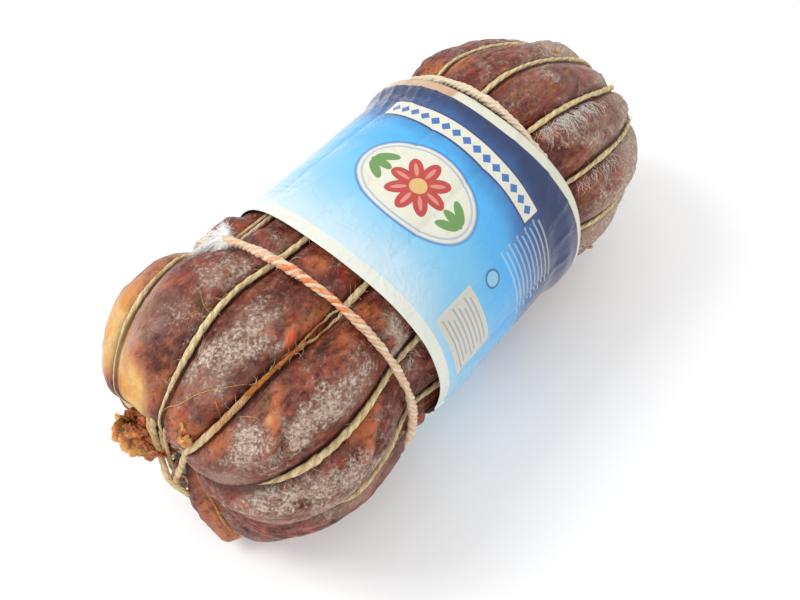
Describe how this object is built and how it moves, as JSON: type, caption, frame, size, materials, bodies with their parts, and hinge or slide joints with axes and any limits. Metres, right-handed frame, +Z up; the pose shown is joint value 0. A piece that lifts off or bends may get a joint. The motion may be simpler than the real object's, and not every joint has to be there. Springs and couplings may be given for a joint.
{
  "type": "whole cased coppa sausage",
  "caption": "Whole cured pork neck in a lobed natural casing, tied lengthwise and round with twine, with a gathered end and a printed sleeve round its middle.",
  "frame": {"origin": "under the middle of the whole, on the surface that the sausage lies on", "axes": "+X along the sausage from its gathered end to the far end, +Z up, +Y to its left"},
  "size_m": [0.2433, 0.1032, 0.1016],
  "materials": {
    "casing": "moist natural casing over cured meat, semi-gloss, with mould bloom",
    "twine": "twisted natural twine, matte",
    "tie_twine": "two-coloured cotton twine, matte",
    "label_film": "thin glossy printed film"
  },
  "bodies": {
    "root": {"coppa_body": "casing", "lengthwise_twine": "twine", "near_tie": "tie_twine", "far_tie": "tie_twine", "label_sleeve": "label_film"}
  },
  "joints": []
}
